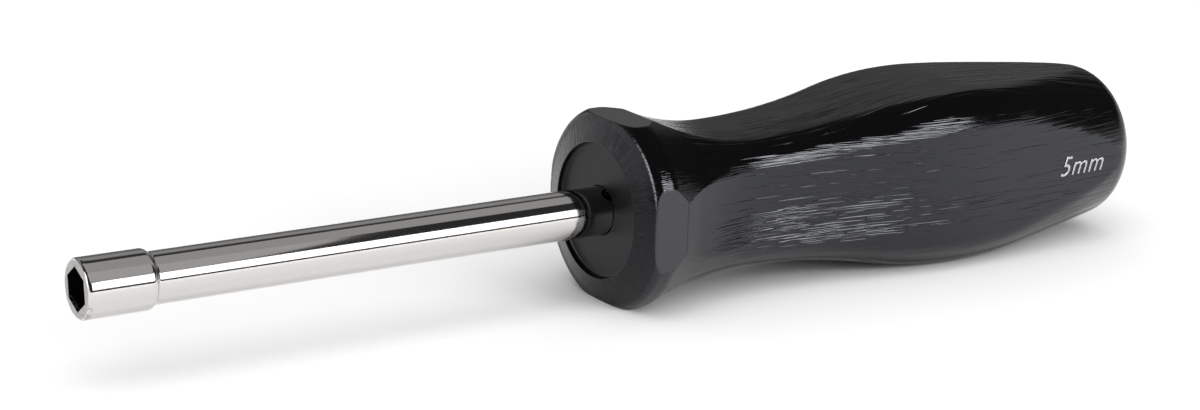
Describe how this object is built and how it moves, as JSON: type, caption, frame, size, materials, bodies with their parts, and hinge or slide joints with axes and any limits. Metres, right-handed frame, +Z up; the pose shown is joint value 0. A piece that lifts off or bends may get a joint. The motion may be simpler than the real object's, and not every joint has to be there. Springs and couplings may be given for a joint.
{
  "type": "nut_driver",
  "caption": "Fixed nut driver: hollow plated shank with a small hexagonal socket head, held in a black plastic handle with a collar, a waist and long facets.",
  "frame": {"origin": "on the resting surface, under the middle of the tool's bounding box", "axes": "+X along the tool from the socket to the butt, +Z up, +Y to the back"},
  "size_m": [0.1686, 0.026, 0.026],
  "materials": {
    "handle_plastic": "black, satin gloss with fine lengthwise brush marks",
    "plated_steel": "bright nickel-chrome plate"
  },
  "bodies": {
    "root": {"handle": "handle_plastic", "shank": "plated_steel", "socket": "plated_steel"}
  },
  "joints": []
}
